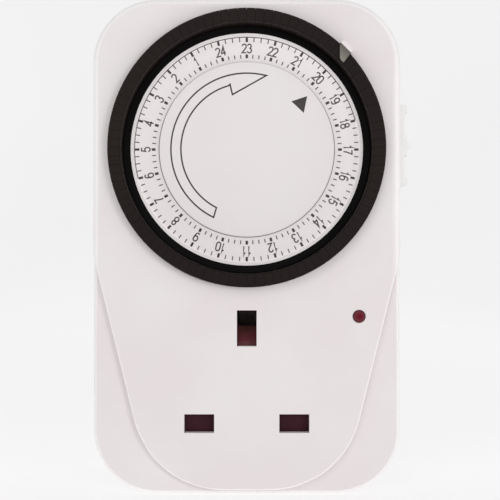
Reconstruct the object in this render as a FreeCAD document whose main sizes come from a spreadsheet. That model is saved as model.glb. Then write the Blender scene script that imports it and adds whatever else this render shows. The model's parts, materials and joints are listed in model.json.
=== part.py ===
import FreeCAD, Part
import math
import os
import re
import Sketcher
from FreeCAD import Vector

# Plug in timer switch. Millimetres. X to the right and Z up as seen from the
# front; the front faces -Y. The origin lies on the rear face that meets the
# wall outlet, at the middle of the body outline. "Depth" below is the
# distance in front of that face, so y = -depth.

doc = FreeCAD.newDocument("timer_switch")
sheet = doc.addObject("Spreadsheet::Sheet", "Dims")
rows = [0]


def cell(alias, value, note=""):
    rows[0] += 1
    n = rows[0]
    sheet.set("A%d" % n, alias)
    sheet.set("B%d" % n, repr(float(value)))
    sheet.setAlias("B%d" % n, alias)
    if note:
        sheet.set("C%d" % n, note)
    ALIASES[alias] = float(value)


ALIASES = {}
for alias, value, note in (
    ("body_width", 72.0, "housing width"),
    ("body_height", 116.0, "housing height"),
    ("corner_rad", 15.0, "housing corner radius"),
    ("wall", 2.2, "front cover wall"),
    ("back_wall", 2.4, "rear cover floor"),
    ("rear_wall", 3.4, "rear cover side wall with its lip"),
    ("lip_gap", 0.1, "play of the lip inside the front cover"),
    ("lip_depth", 2.0, "height of the register lip"),
    ("split_depth", 15.0, "joint line of the two covers"),
    ("face_depth", 42.0, "socket face"),
    ("step_depth", 2.2, "drop of the lower corners below the socket face"),
    ("edge_rad", 2.0, "front edge rounding"),
    ("step_rad", 0.5, "rounding of the socket face along its step"),
    ("shoulder_rad", 1.0, "front edge rounding of the lower corners"),
    ("rear_edge", 2.0, "rear edge rounding"),
    ("dial_z", 23.0, "height of the dial axis"),
    ("dial_hole_rad", 32.45, "opening for the dial"),
    ("u_line_slope", 0.248, "lean of the face outline, x per z"),
    ("u_arc_rad", 21.5, "lower corner arc of the face outline"),
    ("u_arc_x", 5.45, "centre of that arc"),
    ("u_arc_z", -35.3, "centre of that arc"),
    ("earth_z", -19.0, "earth slot centre"),
    ("ln_z", -41.2, "live and neutral slot centres"),
    ("ln_x", 11.1, "live and neutral offset"),
    ("earth_slot_w", 4.6, "earth slot width"),
    ("earth_slot_ht", 8.4, "earth slot height"),
    ("ln_slot_w", 7.0, "live and neutral slot width"),
    ("ln_slot_ht", 4.35, "live and neutral slot height"),
    ("slide_z", 24.85, "slide switch height"),
    ("neon_x", 26.2, "indicator position"),
    ("neon_z", -16.2, "indicator position"),
    ("neon_rad", 1.5, "indicator radius"),
    ("boss_rad", 2.8, "screw boss radius"),
    ("screw_rad", 1.3, "screw shank radius"),
    ("screw_play", 0.02, "play of a screw in its boss"),
    ("boss_top_x", 27.8, "upper screw bosses"),
    ("boss_top_z", 49.8, "upper screw bosses"),
    ("boss_low_x", 27.5, "lower screw bosses"),
    ("boss_low_z", -49.5, "lower screw bosses"),
    ("boss_mid_x", 28.0, "chassis screw bosses"),
    ("boss_mid_z", -5.8, "chassis screw bosses"),
    ("chassis_depth", 25.0, "rear face of the chassis plate"),
    ("chassis_thick", 2.0, "chassis plate"),
    ("post_rad", 4.0, "fixed post that the dial turns on"),
    ("hub_play", 0.08, "radial play of the dial on its post"),
    ("scale_depth", 38.6, "printed face of the dial"),
    ("scale_rad", 27.4, "dial radius"),
    ("disc_rad", 20.55, "fixed centre disc"),
    ("disc_thick", 0.45, "fixed centre disc"),
    ("tappet_in", 29.25, "segment heads, inner radius"),
    ("tappet_out", 32.2, "segment heads, outer radius"),
    ("tappet_top", 44.6, "segment heads, front face"),
    ("tappet_travel", 2.5, "push of a segment"),
    ("tappet_gap", 0.05, "gap between two segments"),
    ("plug_earth_z", 38.0, "earth pin height"),
    ("plug_ln_z", 15.8, "live and neutral pin height"),
    ("earth_pin_len", 22.7, "earth pin"),
    ("ln_pin_len", 17.7, "live and neutral pins"),
    ("pin_thick", 3.95, "thickness of each pin"),
    ("earth_pin_w", 7.9, "earth pin width"),
    ("ln_pin_w", 6.35, "live and neutral pin width"),
    ("sleeve_len", 9.5, "insulating sleeve outside the face"),
    ("ring_module", 0.6, "dial gear module"),
    ("ring_teeth", 80, "dial gear"),
    ("drive_teeth", 16, "drive pinion"),
    ("train_module", 0.4, "reduction train module"),
):
    cell(alias, value, note)
doc.recompute()


def g(alias):
    return ALIASES[alias]


def ex(text):
    return re.sub(r"[A-Za-z_][A-Za-z_0-9]*",
                  lambda w: "Dims." + w.group(0) if w.group(0) in ALIASES else w.group(0),
                  str(text))


def bind(obj, prop, text):
    obj.setExpression(prop, ex(text))


NODES = []


def node(obj, label):
    obj.Label = label
    NODES.append((label, obj))
    return obj


# ---------------------------------------------------------------- primitives

def box(name, x0, x1, d0, d1, z0, z1):
    """Block between two corners, in x, depth and z; each number is a cell."""
    for key, val in (("x0", x0), ("x1", x1), ("d0", d0), ("d1", d1), ("z0", z0), ("z1", z1)):
        cell("%s_%s" % (name, key), val)
    b = doc.addObject("Part::Box", name)
    bind(b, "Length", "%s_x1-%s_x0" % (name, name))
    bind(b, "Width", "%s_d1-%s_d0" % (name, name))
    bind(b, "Height", "%s_z1-%s_z0" % (name, name))
    bind(b, "Placement.Base.x", "%s_x0" % name)
    bind(b, "Placement.Base.y", "-%s_d1" % name)
    bind(b, "Placement.Base.z", "%s_z0" % name)
    return b


def cyl(name, x, z, r, d0, d1):
    """Round piece along the depth."""
    for key, val in (("x", x), ("z", z), ("rad", r), ("d0", d0), ("d1", d1)):
        cell("%s_%s" % (name, key), val)
    c = doc.addObject("Part::Cylinder", name)
    c.Placement = FreeCAD.Placement(Vector(x, -d0, z), FreeCAD.Rotation(Vector(1, 0, 0), 90))
    bind(c, "Radius", "%s_rad" % name)
    bind(c, "Height", "%s_d1-%s_d0" % (name, name))
    bind(c, "Placement.Base.x", "%s_x" % name)
    bind(c, "Placement.Base.y", "-%s_d0" % name)
    bind(c, "Placement.Base.z", "%s_z" % name)
    return c


def xcyl(name, x0, x1, d, z, r):
    """Round piece along X."""
    for key, val in (("x0", x0), ("x1", x1), ("d", d), ("z", z), ("rad", r)):
        cell("%s_%s" % (name, key), val)
    c = doc.addObject("Part::Cylinder", name)
    c.Placement = FreeCAD.Placement(Vector(x0, -d, z), FreeCAD.Rotation(Vector(0, 1, 0), 90))
    bind(c, "Radius", "%s_rad" % name)
    bind(c, "Height", "%s_x1-%s_x0" % (name, name))
    bind(c, "Placement.Base.x", "%s_x0" % name)
    bind(c, "Placement.Base.y", "-%s_d" % name)
    bind(c, "Placement.Base.z", "%s_z" % name)
    return c


def fuse(name, parts):
    f = doc.addObject("Part::MultiFuse", name)
    f.Shapes = parts
    f.Refine = True
    return f


def cut(name, base, tool):
    c = doc.addObject("Part::Cut", name)
    c.Base = base
    c.Tool = tool
    return c


def group(name, parts):
    """Separate solids that share one node."""
    c = doc.addObject("Part::Compound", name)
    c.Links = parts
    return c


# ------------------------------------------------------------ sketched bodies

def origin_plane(body, role):
    for f in body.Origin.OriginFeatures:
        if f.Role == role:
            return f
    raise RuntimeError(role)


def sketch(body, name, role, offset):
    s = body.newObject("Sketcher::SketchObject", name)
    s.AttachmentSupport = [(origin_plane(body, role), "")]
    s.MapMode = "FlatFace"
    bind(s, "AttachmentOffset.Base.z", offset)
    return s


def lock(s, kind, args, text, value):
    k = s.addConstraint(Sketcher.Constraint(kind, *args, value))
    cname = "c%d" % k
    s.renameConstraint(k, cname)
    bind(s, "Constraints." + cname, text)


def circle(s, x, z, r):
    """x, z, r: (number, expression)"""
    i = s.addGeometry(Part.Circle(Vector(x[0], z[0], 0), Vector(0, 0, 1), r[0]), False)
    lock(s, "Radius", (i,), r[1], r[0])
    for kind, v in (("DistanceX", x), ("DistanceY", z)):
        if abs(v[0]) < 1e-9:
            s.addConstraint(Sketcher.Constraint("PointOnObject", i, 3, -2 if kind == "DistanceX" else -1))
        else:
            lock(s, kind, (-1, 1, i, 3), v[1], v[0])
    return i


def rect(s, x0, x1, z0, z1):
    n = s.GeometryCount
    p = [Vector(x0[0], z0[0], 0), Vector(x1[0], z0[0], 0), Vector(x1[0], z1[0], 0), Vector(x0[0], z1[0], 0)]
    for k in range(4):
        s.addGeometry(Part.LineSegment(p[k], p[(k + 1) % 4]), False)
    for k in range(4):
        s.addConstraint(Sketcher.Constraint("Coincident", n + k, 2, n + (k + 1) % 4, 1))
    for k in (0, 2):
        s.addConstraint(Sketcher.Constraint("Horizontal", n + k))
    for k in (1, 3):
        s.addConstraint(Sketcher.Constraint("Vertical", n + k))
    lock(s, "DistanceX", (-1, 1, n, 1), x0[1], x0[0])
    lock(s, "DistanceX", (-1, 1, n + 1, 1), x1[1], x1[0])
    lock(s, "DistanceY", (-1, 1, n, 1), z0[1], z0[0])
    lock(s, "DistanceY", (-1, 1, n + 2, 1), z1[1], z1[0])


def rounded(s, half_w, half_ht, r):
    """Rounded rectangle about the origin; each size: (number, expression)."""
    w, h, q = half_w[0], half_ht[0], r[0]
    n = s.GeometryCount
    lines = [(-w + q, -h, w - q, -h), (w, -h + q, w, h - q), (w - q, h, -w + q, h), (-w, h - q, -w, -h + q)]
    arcs = [(w - q, -h + q, 270, 360), (w - q, h - q, 0, 90), (-w + q, h - q, 90, 180), (-w + q, -h + q, 180, 270)]
    for k in range(4):
        a = lines[k]
        s.addGeometry(Part.LineSegment(Vector(a[0], a[1], 0), Vector(a[2], a[3], 0)), False)
        c = arcs[k]
        circ = Part.Circle(Vector(c[0], c[1], 0), Vector(0, 0, 1), q)
        s.addGeometry(Part.ArcOfCircle(circ, math.radians(c[2]), math.radians(c[3])), False)
    for k in range(4):
        line, arc, nxt = n + 2 * k, n + 2 * k + 1, n + (2 * k + 2) % 8
        s.addConstraint(Sketcher.Constraint("Tangent", line, 2, arc, 1))
        s.addConstraint(Sketcher.Constraint("Tangent", arc, 2, nxt, 1))
    s.addConstraint(Sketcher.Constraint("Horizontal", n))
    s.addConstraint(Sketcher.Constraint("Horizontal", n + 4))
    s.addConstraint(Sketcher.Constraint("Vertical", n + 2))
    s.addConstraint(Sketcher.Constraint("Vertical", n + 6))
    for k in (3, 5, 7):
        s.addConstraint(Sketcher.Constraint("Equal", n + 1, n + k))
    lock(s, "Radius", (n + 1,), r[1], q)
    lock(s, "DistanceY", (-1, 1, n, 1), "-(%s)" % half_ht[1], -h)
    lock(s, "DistanceY", (-1, 1, n + 4, 1), half_ht[1], h)
    lock(s, "DistanceX", (-1, 1, n + 2, 1), half_w[1], w)
    lock(s, "DistanceX", (-1, 1, n + 6, 1), "-(%s)" % half_w[1], -w)


def path(s, items):
    """Closed outline of ("L", x, z, x, z) and ("A", cx, cz, r, a0, a1, reversed) runs."""
    n = s.GeometryCount
    for it in items:
        if it[0] == "L":
            s.addGeometry(Part.LineSegment(Vector(it[1], it[2], 0), Vector(it[3], it[4], 0)), False)
        else:
            circ = Part.Circle(Vector(it[1], it[2], 0), Vector(0, 0, 1), it[3])
            s.addGeometry(Part.ArcOfCircle(circ, math.radians(it[4]), math.radians(it[5])), False)
    m = len(items)
    for k in range(m):
        a, b = items[k], items[(k + 1) % m]
        pa = 1 if (a[0] == "A" and a[6]) else 2
        pb = 2 if (b[0] == "A" and b[6]) else 1
        s.addConstraint(Sketcher.Constraint("Coincident", n + k, pa, n + (k + 1) % m, pb))
    s.addConstraint([Sketcher.Constraint("Block", n + k) for k in range(m)])


def pad(body, name, sk, length, reverse=False):
    f = body.newObject("PartDesign::Pad", name)
    f.Profile = sk
    bind(f, "Length", length)
    f.Reversed = reverse
    return f


def pocket(body, name, sk, length, reverse=False):
    """Cuts back from the sketch, against its normal."""
    f = body.newObject("PartDesign::Pocket", name)
    f.Profile = sk
    bind(f, "Length", length)
    f.Reversed = reverse
    return f


def fillet(body, name, pick, radius):
    doc.recompute()
    base = body.Tip
    edges = ["Edge%d" % (k + 1) for k, e in enumerate(base.Shape.Edges) if pick(e)]
    f = body.newObject("PartDesign::Fillet", name)
    f.Base = (base, edges)
    bind(f, "Radius", radius)
    doc.recompute()
    return f


def same(e, axis, value, tol=1e-4):
    b = e.BoundBox
    lo, hi = {"x": (b.XMin, b.XMax), "y": (b.YMin, b.YMax), "z": (b.ZMin, b.ZMax)}[axis]
    return abs(lo - value) < tol and abs(hi - value) < tol


# ------------------------------------------------------------- front cover

HALF_W = (g("body_width") / 2, "body_width/2")
HALF_H = (g("body_height") / 2, "body_height/2")
CORNER = (g("corner_rad"), "corner_rad")


def face_outline(offset, reach):
    """Points of the U shaped edge of the socket face, moved inwards by offset."""
    k = g("u_line_slope")
    n = math.hypot(1.0, k)
    nx, nz = 1.0 / n, -k / n
    cx, cz, r = g("u_arc_x"), g("u_arc_z"), g("u_arc_rad") - offset
    tx, tz = cx + r * nx, cz + r * nz
    a_side = math.degrees(math.atan2(nz, nx))
    z_side = tz + (reach - tx) / k
    return cx, cz, r, tx, tz, a_side, z_side


front = doc.addObject("PartDesign::Body", "front_cover")
node(front, "front_cover")
s = sketch(front, "fc_outline", "XZ_Plane", "split_depth")
rounded(s, HALF_W, HALF_H, CORNER)
pad(front, "fc_block", s, "face_depth-split_depth")
fillet(front, "fc_round", lambda e: same(e, "y", -g("face_depth")), "edge_rad")

cx, cz, r, tx, tz, a_side, z_side = face_outline(0.0, 38.0)
s = sketch(front, "fc_step_sketch", "XZ_Plane", "face_depth")
path(s, [
    ("L", 38.0, z_side, 38.0, -60.0),
    ("L", 38.0, -60.0, -38.0, -60.0),
    ("L", -38.0, -60.0, -38.0, z_side),
    ("L", -38.0, z_side, -tx, tz),
    ("A", -cx, cz, r, 180 - a_side, 270, False),
    ("L", -cx, cz - r, cx, cz - r),
    ("A", cx, cz, r, 270, 360 + a_side, False),
    ("L", tx, tz, 38.0, z_side),
])
pocket(front, "fc_step", s, "step_depth")
fillet(front, "fc_shoulder_round", lambda e: same(e, "y", g("step_depth") - g("face_depth")) and (
    same(e, "x", HALF_W[0]) or same(e, "x", -HALF_W[0]) or same(e, "z", -HALF_H[0])), "shoulder_rad")
fillet(front, "fc_step_round", lambda e: same(e, "y", -g("face_depth")) and e.BoundBox.ZMax < 0, "step_rad")

# hollow up to the lower corners, then up to the socket face
s = sketch(front, "fc_hollow_sketch", "XZ_Plane", "face_depth-step_depth-wall")
rounded(s, (HALF_W[0] - g("wall"), "body_width/2-wall"), (HALF_H[0] - g("wall"), "body_height/2-wall"),
        (g("corner_rad") - g("wall"), "corner_rad-wall"))
pocket(front, "fc_hollow", s, "face_depth-step_depth-wall-split_depth")
iw, ih, ir = HALF_W[0] - g("wall"), HALF_H[0] - g("wall"), g("corner_rad") - g("wall")
cx, cz, r, tx, tz, a_side, z_side = face_outline(g("wall"), iw)
s = sketch(front, "fc_upper_sketch", "XZ_Plane", "face_depth-wall")
path(s, [
    ("L", iw, z_side, iw, ih - ir),
    ("A", iw - ir, ih - ir, ir, 0, 90, False),
    ("L", iw - ir, ih, -iw + ir, ih),
    ("A", -iw + ir, ih - ir, ir, 90, 180, False),
    ("L", -iw, ih - ir, -iw, z_side),
    ("L", -iw, z_side, -tx, tz),
    ("A", -cx, cz, r, 180 - a_side, 270, False),
    ("L", -cx, cz - r, cx, cz - r),
    ("A", cx, cz, r, 270, 360 + a_side, False),
    ("L", tx, tz, iw, z_side),
])
pocket(front, "fc_upper", s, "step_depth+0.5")

# screw bosses
s = sketch(front, "fc_boss_mid_sketch", "XZ_Plane", "chassis_depth+chassis_thick")
for sx in (1, -1):
    circle(s, (sx * g("boss_top_x"), "%d*boss_top_x" % sx), (g("boss_top_z"), "boss_top_z"), (g("boss_rad"), "boss_rad"))
    circle(s, (sx * g("boss_mid_x"), "%d*boss_mid_x" % sx), (g("boss_mid_z"), "boss_mid_z"), (g("boss_rad"), "boss_rad"))
pad(front, "fc_boss_mid", s, "face_depth-wall-chassis_depth-chassis_thick+0.3")
s = sketch(front, "fc_boss_low_sketch", "XZ_Plane", "split_depth")
for sx in (1, -1):
    circle(s, (sx * g("boss_low_x"), "%d*boss_low_x" % sx), (g("boss_low_z"), "boss_low_z"), (g("boss_rad"), "boss_rad"))
pad(front, "fc_boss_low", s, "face_depth-step_depth-wall-split_depth+0.3")
# rails that guide the shutter
s = sketch(front, "fc_rail_sketch", "XZ_Plane", "36.8")
for a, b in ((3.8, 4.9), (-4.9, -3.8)):
    rect(s, (a, "%g" % a), (b, "%g" % b), (-36.0, "-36"), (-25.5, "-25.5"))
pad(front, "fc_rails", s, "face_depth-wall-36.8+0.3")

# small block at the edge of the dial opening that carries the time pointer
PT_A = 45.0
ux, uz = math.cos(math.radians(PT_A)), math.sin(math.radians(PT_A))


def on_axis(rr, side):
    return (rr * ux - side * uz, g("dial_z") + rr * uz + side * ux)


s = sketch(front, "fc_pointer_sketch", "XZ_Plane", "face_depth-0.5")
corners = [on_axis(32.38, 1.75), on_axis(32.38, -1.75), on_axis(33.4, -1.45), on_axis(33.4, 1.45)]
path(s, [("L", p[0], p[1], q[0], q[1]) for p, q in zip(corners, corners[1:] + corners[:1])])
pad(front, "fc_pointer_block", s, "3.6")
s = sketch(front, "fc_dial_sketch", "XZ_Plane", "face_depth+0.5")
circle(s, (0.0, "0"), (g("dial_z"), "dial_z"), (g("dial_hole_rad"), "dial_hole_rad"))
pocket(front, "fc_dial_hole", s, "wall+1.5")
s = sketch(front, "fc_slot_sketch", "XZ_Plane", "face_depth+0.5")
rect(s, (-g("earth_slot_w") / 2, "-earth_slot_w/2"), (g("earth_slot_w") / 2, "earth_slot_w/2"),
     (g("earth_z") - g("earth_slot_ht") / 2, "earth_z-earth_slot_ht/2"),
     (g("earth_z") + g("earth_slot_ht") / 2, "earth_z+earth_slot_ht/2"))
for sx in (1, -1):
    rect(s, (sx * g("ln_x") - g("ln_slot_w") / 2, "%d*ln_x-ln_slot_w/2" % sx),
         (sx * g("ln_x") + g("ln_slot_w") / 2, "%d*ln_x+ln_slot_w/2" % sx),
         (g("ln_z") - g("ln_slot_ht") / 2, "ln_z-ln_slot_ht/2"),
         (g("ln_z") + g("ln_slot_ht") / 2, "ln_z+ln_slot_ht/2"))
circle(s, (g("neon_x"), "neon_x"), (g("neon_z"), "neon_z"), (g("neon_rad") + 0.05, "neon_rad+0.05"))
pocket(front, "fc_slots", s, "wall+1.5")
s = sketch(front, "fc_pilot_sketch", "XZ_Plane", "34")
for sx in (1, -1):
    for bx, bz in (("boss_top_x", "boss_top_z"), ("boss_mid_x", "boss_mid_z"), ("boss_low_x", "boss_low_z")):
        circle(s, (sx * g(bx), "%d*%s" % (sx, bx)), (g(bz), bz),
               (g("screw_rad") + g("screw_play"), "screw_rad+screw_play"))
pocket(front, "fc_pilots", s, "34-split_depth+1")
# window for the slide switch in the right wall
s = sketch(front, "fc_switch_sketch", "YZ_Plane", "body_width/2+1")
rect(s, (-27.0, "-27"), (-24.0, "-24"), (g("slide_z") - 7.75, "slide_z-7.75"),
     (g("slide_z") + 7.65, "slide_z+7.65"))
pocket(front, "fc_switch_slot", s, "wall+3")
doc.recompute()

# -------------------------------------------------------------- rear cover

rear = doc.addObject("PartDesign::Body", "rear_cover")
node(rear, "rear_cover")
s = sketch(rear, "rc_outline", "XZ_Plane", "0")
rounded(s, HALF_W, HALF_H, CORNER)
pad(rear, "rc_block", s, "split_depth")
fillet(rear, "rc_round", lambda e: same(e, "y", 0.0), "rear_edge")
s = sketch(rear, "rc_lip_sketch", "XZ_Plane", "split_depth")
rounded(s, (HALF_W[0] - g("wall") - g("lip_gap"), "body_width/2-wall-lip_gap"),
        (HALF_H[0] - g("wall") - g("lip_gap"), "body_height/2-wall-lip_gap"),
        (g("corner_rad") - g("wall") - g("lip_gap"), "corner_rad-wall-lip_gap"))
pad(rear, "rc_lip", s, "lip_depth")
s = sketch(rear, "rc_hollow_sketch", "XZ_Plane", "split_depth+lip_depth")
rounded(s, (HALF_W[0] - g("rear_wall"), "body_width/2-rear_wall"),
        (HALF_H[0] - g("rear_wall"), "body_height/2-rear_wall"),
        (g("corner_rad") - g("rear_wall"), "corner_rad-rear_wall"))
pocket(rear, "rc_hollow", s, "split_depth+lip_depth-back_wall")
s = sketch(rear, "rc_boss_top_sketch", "XZ_Plane", "back_wall-0.3")
for sx in (1, -1):
    circle(s, (sx * g("boss_top_x"), "%d*boss_top_x" % sx), (g("boss_top_z"), "boss_top_z"), (g("boss_rad"), "boss_rad"))
pad(rear, "rc_boss_top", s, "chassis_depth-back_wall+0.3")
s = sketch(rear, "rc_boss_low_sketch", "XZ_Plane", "back_wall-0.3")
for sx in (1, -1):
    circle(s, (sx * g("boss_low_x"), "%d*boss_low_x" % sx), (g("boss_low_z"), "boss_low_z"), (g("boss_rad"), "boss_rad"))
pad(rear, "rc_boss_low", s, "split_depth-back_wall+0.3")
MOTOR_POSTS = ((-18.0, -14.5), (18.0, -14.5), (-18.0, 20.5), (18.0, 20.5))
s = sketch(rear, "rc_post_sketch", "XZ_Plane", "back_wall-0.3")
for px, pz in MOTOR_POSTS:
    circle(s, (px, "%g" % px), (pz, "%g" % pz), (2.2, "2.2"))
pad(rear, "rc_posts", s, "12-back_wall+0.3")
# the lip makes way for the lower bosses of the front cover
s = sketch(rear, "rc_notch_sketch", "XZ_Plane", "split_depth+lip_depth+0.5")
for sx in (1, -1):
    circle(s, (sx * g("boss_low_x"), "%d*boss_low_x" % sx), (g("boss_low_z"), "boss_low_z"),
           (g("boss_rad") + 0.3, "boss_rad+0.3"))
pocket(rear, "rc_notch", s, "lip_depth+0.5")
# pin openings, screw clearance with counterbores, pilots
s = sketch(rear, "rc_pin_sketch", "XZ_Plane", "back_wall+0.5")
rect(s, (-g("pin_thick") / 2 - 0.02, "-pin_thick/2-0.02"), (g("pin_thick") / 2 + 0.02, "pin_thick/2+0.02"),
     (g("plug_earth_z") - g("earth_pin_w") / 2 - 0.02, "plug_earth_z-earth_pin_w/2-0.02"),
     (g("plug_earth_z") + g("earth_pin_w") / 2 + 0.02, "plug_earth_z+earth_pin_w/2+0.02"))
for sx in (1, -1):
    rect(s, (sx * g("ln_x") - g("ln_pin_w") / 2 - 0.02, "%d*ln_x-ln_pin_w/2-0.02" % sx),
         (sx * g("ln_x") + g("ln_pin_w") / 2 + 0.02, "%d*ln_x+ln_pin_w/2+0.02" % sx),
         (g("plug_ln_z") - g("pin_thick") / 2 - 0.02, "plug_ln_z-pin_thick/2-0.02"),
         (g("plug_ln_z") + g("pin_thick") / 2 + 0.02, "plug_ln_z+pin_thick/2+0.02"))
pocket(rear, "rc_pin_holes", s, "back_wall+1")
s = sketch(rear, "rc_bore_sketch", "XZ_Plane", "chassis_depth+0.5")
for sx in (1, -1):
    for bx, bz in (("boss_top_x", "boss_top_z"), ("boss_low_x", "boss_low_z")):
        circle(s, (sx * g(bx), "%d*%s" % (sx, bx)), (g(bz), bz),
               (g("screw_rad") + 0.1, "screw_rad+0.1"))
pocket(rear, "rc_bores", s, "chassis_depth+1")
s = sketch(rear, "rc_head_sketch", "XZ_Plane", "4.5")
for sx in (1, -1):
    for bx, bz in (("boss_top_x", "boss_top_z"), ("boss_low_x", "boss_low_z")):
        circle(s, (sx * g(bx), "%d*%s" % (sx, bx)), (g(bz), bz), (2.45, "2.45"))
pocket(rear, "rc_heads", s, "5")
s = sketch(rear, "rc_pilot_sketch", "XZ_Plane", "12.5")
for px, pz in MOTOR_POSTS:
    circle(s, (px, "%g" % px), (pz, "%g" % pz), (0.82, "0.82"))
pocket(rear, "rc_pilots", s, "7")
doc.recompute()

# ------------------------------------------------------------------ screws


def screw(name, x, z, head_rad, head_d0, head_d1, rad, end, cross_from):
    """Pan head screw along the depth; head_d0 is its outer side, end its tip."""
    lo, hi = min(head_d0, head_d1), max(head_d0, head_d1)
    head = cyl(name + "_hd", x, z, head_rad, lo, hi)
    a, b = (head_d1, end) if end > head_d1 else (end, head_d1)
    shank = cyl(name + "_sh", x, z, rad, a, b)
    f = fuse(name + "_f", [head, shank])
    depth = 0.7
    if cross_from == "rear":
        d0, d1 = head_d0 - 0.1, head_d0 + depth
    else:
        d0, d1 = head_d0 - depth, head_d0 + 0.1
    w = head_rad * 0.62
    c1 = box(name + "_ca", x - w, x + w, d0, d1, z - 0.28, z + 0.28)
    c2 = box(name + "_cb", x - 0.28, x + 0.28, d0, d1, z - w, z + w)
    return cut(name, f, fuse(name + "_cross", [c1, c2]))


node(group("housing_screws", [
    screw("hscrew%d" % k, sx * g(bx), g(bz), 2.3, 2.4, 4.5, g("screw_rad"), 33.0, "rear")
    for k, (sx, bx, bz) in enumerate(((1, "boss_top_x", "boss_top_z"), (-1, "boss_top_x", "boss_top_z"),
                                      (1, "boss_low_x", "boss_low_z"), (-1, "boss_low_x", "boss_low_z")))
]), "housing_screws")
node(group("inner_screws", [
    screw("cscrew%d" % k, sx * g("boss_mid_x"), g("boss_mid_z"), 2.3, 23.2, 25.0, g("screw_rad"), 32.5, "rear")
    for k, sx in enumerate((1, -1))] + [
    screw("mscrew%d" % k, px, pz, 1.6, 14.2, 13.2, 0.8, 6.5, "front")
    for k, (px, pz) in enumerate(MOTOR_POSTS)]), "inner_screws")

# ----------------------------------------------------------------- chassis

plate = box("chassis_flat", -30.6, 30.6, g("chassis_depth"), g("chassis_depth") + g("chassis_thick"), -9.0, 52.2)
post = cyl("chassis_post", 0.0, g("dial_z"), g("post_rad"), g("chassis_depth"), 38.7)
lug_a = box("chassis_lug_a", 14.6, 16.2, 21.0, 25.5, 26.5, 31.5)
lug_b = box("chassis_lug_b", 21.2, 22.8, 21.0, 25.5, 26.5, 31.5)
chassis_solid = fuse("chassis_solid", [plate, post, lug_a, lug_b])
chassis_cuts = fuse("chassis_cuts", [
    cyl("chassis_post_bore", 0.0, g("dial_z"), 2.22, 33.0, 39.0),
    cyl("chassis_arbor_bore", 0.0, 3.8, 1.56, 24.0, 28.0),
    box("chassis_window", 16.2, 21.2, 24.0, 28.0, 25.0, 51.0),
    xcyl("chassis_pin_bore", 14.0, 24.0, 23.0, 29.0, 1.01),
    cyl("chassis_hole_a", g("boss_top_x"), g("boss_top_z"), 1.4, 24.0, 28.0),
    cyl("chassis_hole_b", -g("boss_top_x"), g("boss_top_z"), 1.4, 24.0, 28.0),
    cyl("chassis_hole_c", g("boss_mid_x"), g("boss_mid_z"), 1.4, 24.0, 28.0),
    cyl("chassis_hole_d", -g("boss_mid_x"), g("boss_mid_z"), 1.4, 24.0, 28.0),
    box("chassis_nick_a", 29.6, 32.0, 24.0, 28.0, 50.0, 54.0),
    box("chassis_nick_b", -32.0, -29.6, 24.0, 28.0, 50.0, 54.0),
])
node(cut("chassis_plate", chassis_solid, chassis_cuts), "chassis_plate")

# ------------------------------------------------- dial and its centre disc

CENTRE = Vector(0, 0, g("dial_z"))
FRONT = Vector(0, -1, 0)


def feature(label, shape):
    """Piece whose shape is worked out from the sheet's numbers."""
    f = doc.addObject("Part::Feature", label)
    place = shape.Placement
    f.Shape = shape
    f.Placement = place
    return node(f, label)


def pt(cx, cz, r, deg, d):
    a = math.radians(deg)
    return Vector(cx + r * math.cos(a), -d, cz + r * math.sin(a))


def involute(a):
    return math.tan(a) - a


def gear_ring_points(module, teeth, add, ded, thin, phase, cx, cz, d):
    """Outline of a spur gear: involute flanks at 25 degrees, straight roots."""
    rp = module * teeth / 2.0
    rb = rp * math.cos(math.radians(25.0))
    ra, rf = rp + add, rp - ded
    inv_p = involute(math.radians(25.0))
    start = max(rf, rb * 1.0005)
    radii = [start + (ra - start) * k / 4.0 for k in range(5)]

    def half(r):
        return math.degrees(math.pi / (2 * teeth) + inv_p - involute(math.acos(min(1.0, rb / r))) - thin / r)

    pts = []
    for t in range(teeth):
        mid = phase + 360.0 * t / teeth
        if rf < start:
            pts.append(pt(cx, cz, rf, mid - half(start), d))
        for r in radii:
            pts.append(pt(cx, cz, r, mid - half(r), d))
        for r in reversed(radii):
            pts.append(pt(cx, cz, r, mid + half(r), d))
        if rf < start:
            pts.append(pt(cx, cz, rf, mid + half(start), d))
    return pts


def gear(module, teeth, phase, cx, cz, d0, d1, thin=0.06):
    pts = gear_ring_points(module, teeth, 0.8 * module, 1.05 * module, thin, phase, cx, cz, d0)
    wire = Part.makePolygon(pts + [pts[0]])
    return Part.Face(wire).extrude(FRONT * (d1 - d0))


def rod(cx, cz, r, d0, d1):
    return Part.makeCylinder(r, d1 - d0, Vector(cx, -d0, cz), FRONT)


def lathe(profile):
    """Turned piece about the dial axis, from (radius, depth) corners."""
    pts = [Vector(r, -d, g("dial_z")) for r, d in profile]
    face = Part.Face(Part.makePolygon(pts + [pts[0]]))
    return face.revolve(CENTRE, Vector(0, 1, 0), 360)


BORE = g("post_rad") + g("hub_play")
T_IN, T_OUT, T_TOP = g("tappet_in"), g("tappet_out"), g("tappet_top")
carrier = lathe([(BORE, 27.2), (6.5, 27.2), (6.5, 34.9), (24.9, 34.9), (24.9, 32.0), (26.6, 32.0),
                 (26.6, 32.4), (32.2, 32.4), (32.2, 34.3), (29.1, 34.3), (29.1, 38.6), (27.45, 38.6),
                 (27.45, 36.5), (BORE, 36.5)])
ring_m, ring_n = g("ring_module"), int(g("ring_teeth"))
ring_outer = Part.makeCylinder(26.6, 5.0, Vector(0, -27.2, g("dial_z")), FRONT)
pts = gear_ring_points(ring_m, ring_n, 1.05 * ring_m, 0.8 * ring_m, -0.06, -90.0, 0.0, g("dial_z"), 26.0)
ring_space = Part.Face(Part.makePolygon(pts + [pts[0]])).extrude(FRONT * 8.0)
ring = ring_outer.cut(ring_space)
carrier = carrier.fuse(ring)
slots = []
for k in range(96):
    b = Part.makeBox(1.3, 4.0, 1.4, Vector(30.1, -36.0, g("dial_z") - 0.7))
    b.rotate(CENTRE, Vector(0, -1, 0), 1.875 + 3.75 * k)
    slots.append(b)
carrier = carrier.cut(Part.makeCompound(slots))
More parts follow.
